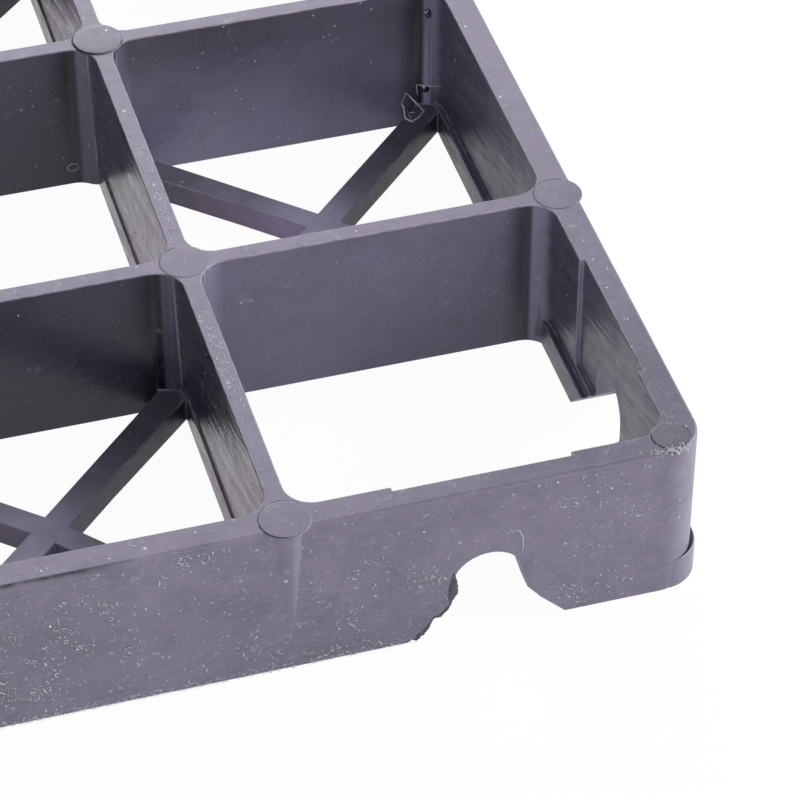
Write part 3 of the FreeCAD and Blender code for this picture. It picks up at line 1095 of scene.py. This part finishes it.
def bead_highlights(bm, surface):
    """White crumbs on the beads' upper left, as a painted highlight."""
    chance = random.Random(2)
    for x, z, wide, high in SEEN_BEADS:
        heart = landed(surface, (x - wide * 0.5, FAR_WALL, z + high * 0.75), 0.6)
        for _ in range(4):
            spread = Vector((chance.uniform(-0.3, 0.3), 0, chance.uniform(-0.25, 0.25)))
            add_crumb(bm, heart + spread, chance.uniform(0.2, 0.4), chance)


def landed(surface, spot, proud):
    """The point where the photograph shows a spot on the moulding, a little proud of it."""
    towards = Vector(spot) * MM - CAMERA_PLACE
    place, normal, _, _ = surface.ray_cast(CAMERA_PLACE, towards.normalized())
    return (place + normal * proud * MM) / MM


def threads_and_bead_highlights(surface):
    """Flash threads left by the mould: loops and a ring on two walls, and white crumbs as a painted highlight
    on the beads.
    """
    bm = bmesh.new()
    for line, radius in SEEN_THREADS:
        add_tube(bm, [landed(surface, (x, FAR_WALL, z), radius) for x, z in line], radius)
    ring = []
    for number in range(12):
        angle = 2 * math.pi * number / 11
        spot = (155.7 + 1.35 * math.cos(angle), FAR_WALL, 5 + 1.1 * math.sin(angle))
        ring.append(landed(surface, spot, 0.1))
    add_tube(bm, ring, 0.12)
    # Painted highlight on the beads.
    bead_highlights(bm, surface)
    return add_built("threads_and_bead_highlights", bm)


def glossy_plastic():
    """Plastic that set smooth, in beads."""
    g = Graph("glossy_plastic")
    clouds = g.noise(700, 2)
    g.feed(g.shader.inputs["Base Color"], g.mix(g.ramp(clouds, 0.3, 0.7), *BEAD_COLORS))
    g.feed(g.shader.inputs["Roughness"], g.ramp(clouds, 0.3, 0.7, 0.08, 0.18))
    g.bump(clouds, 0.00008)
    return g.material


def beads(surface):
    """Drops of plastic that ran down the corner of a cell and set."""
    bm = bmesh.new()
    for x, z, wide, high in SEEN_BEADS:
        heart = landed(surface, (x, FAR_WALL, z), 0.1)
        shape = Matrix.Translation(heart * MM) @ Matrix.Diagonal((wide * MM, 0.6 * MM, high * MM, 1))
        bmesh.ops.create_icosphere(bm, subdivisions=3, radius=1, matrix=shape)
    for face in bm.faces:
        face.smooth = True
    return add_built("beads", bm)


def add_floor():
    """A white floor that keeps a faint shadow of the grid."""
    bm = bmesh.new()
    bmesh.ops.create_grid(bm, x_segments=1, y_segments=1, size=4)
    floor = add_built("floor", bm)
    floor.location.z = FLOOR_LEVEL
    material = bpy.data.materials.new("white_floor")
    material.use_nodes = True
    nodes = material.node_tree.nodes
    links = material.node_tree.links
    nodes.clear()
    output = nodes.new("ShaderNodeOutputMaterial")
    seen = nodes.new("ShaderNodeLightPath")
    share = nodes.new("ShaderNodeMath")
    share.operation = "MAXIMUM"
    for ray, part, socket in (("Is Camera Ray", 0.96, 0), ("Is Glossy Ray", 0.75, 1)):
        some = nodes.new("ShaderNodeMath")
        some.operation = "MULTIPLY"
        some.inputs[1].default_value = part
        links.new(seen.outputs[ray], some.inputs[0])
        links.new(some.outputs[0], share.inputs[socket])
    paper = nodes.new("ShaderNodeBsdfDiffuse")
    paper.inputs["Color"].default_value = FLOOR_COLOR
    white = nodes.new("ShaderNodeEmission")
    white.inputs["Strength"].default_value = 1
    mix = nodes.new("ShaderNodeMixShader")
    links.new(share.outputs[0], mix.inputs[0])
    links.new(paper.outputs[0], mix.inputs[1])
    links.new(white.outputs[0], mix.inputs[2])
    links.new(mix.outputs[0], output.inputs["Surface"])
    floor.data.materials.append(material)


def add_lamp(name, place, size, energy):
    """An area lamp that faces the seen corner of the grid."""
    data = bpy.data.lights.new(name, "AREA")
    data.size = size
    data.energy = energy
    light = bpy.data.objects.new(name, data)
    light.location = place
    light.rotation_euler = (LAMP_TARGET - light.location).to_track_quat("-Z", "Y").to_euler()
    bpy.context.scene.collection.objects.link(light)


def add_lights():
    """A soft white surround, with lamps to the right, behind and in front."""
    world = bpy.data.worlds.new("studio")
    bpy.context.scene.world = world
    world.use_nodes = True
    world.node_tree.nodes["Background"].inputs["Color"].default_value = (1, 1, 1, 1)
    world.node_tree.nodes["Background"].inputs["Strength"].default_value = SURROUND_STRENGTH
    for lamp in LAMPS:
        add_lamp(*lamp)


add_camera()
grid, surface = bevelled_grid()
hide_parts(NODE)
skin = plastic()
pale = shavings("pale_lint", DULL_FIBRE_COLOR, FIBRE_COLOR)
# The pale flash material also gives the beads' painted highlight.
flash = shavings("pale_flash_and_highlight", FIBRE_COLOR, FLASH_AND_HIGHLIGHT_COLOR)
for piece, material in (
    (grid, skin), (foot_band(), skin), (ejector_marks(), skin), (torn_flare(), torn_plastic()),
    (lint(), pale), (threads_and_bead_highlights(surface), flash), (beads(surface), glossy_plastic()),
):
    piece.data.materials.clear()
    piece.data.materials.append(material)
    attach(piece, "root")
add_floor()
add_lights()

bpy.context.scene.view_settings.view_transform = "Standard"
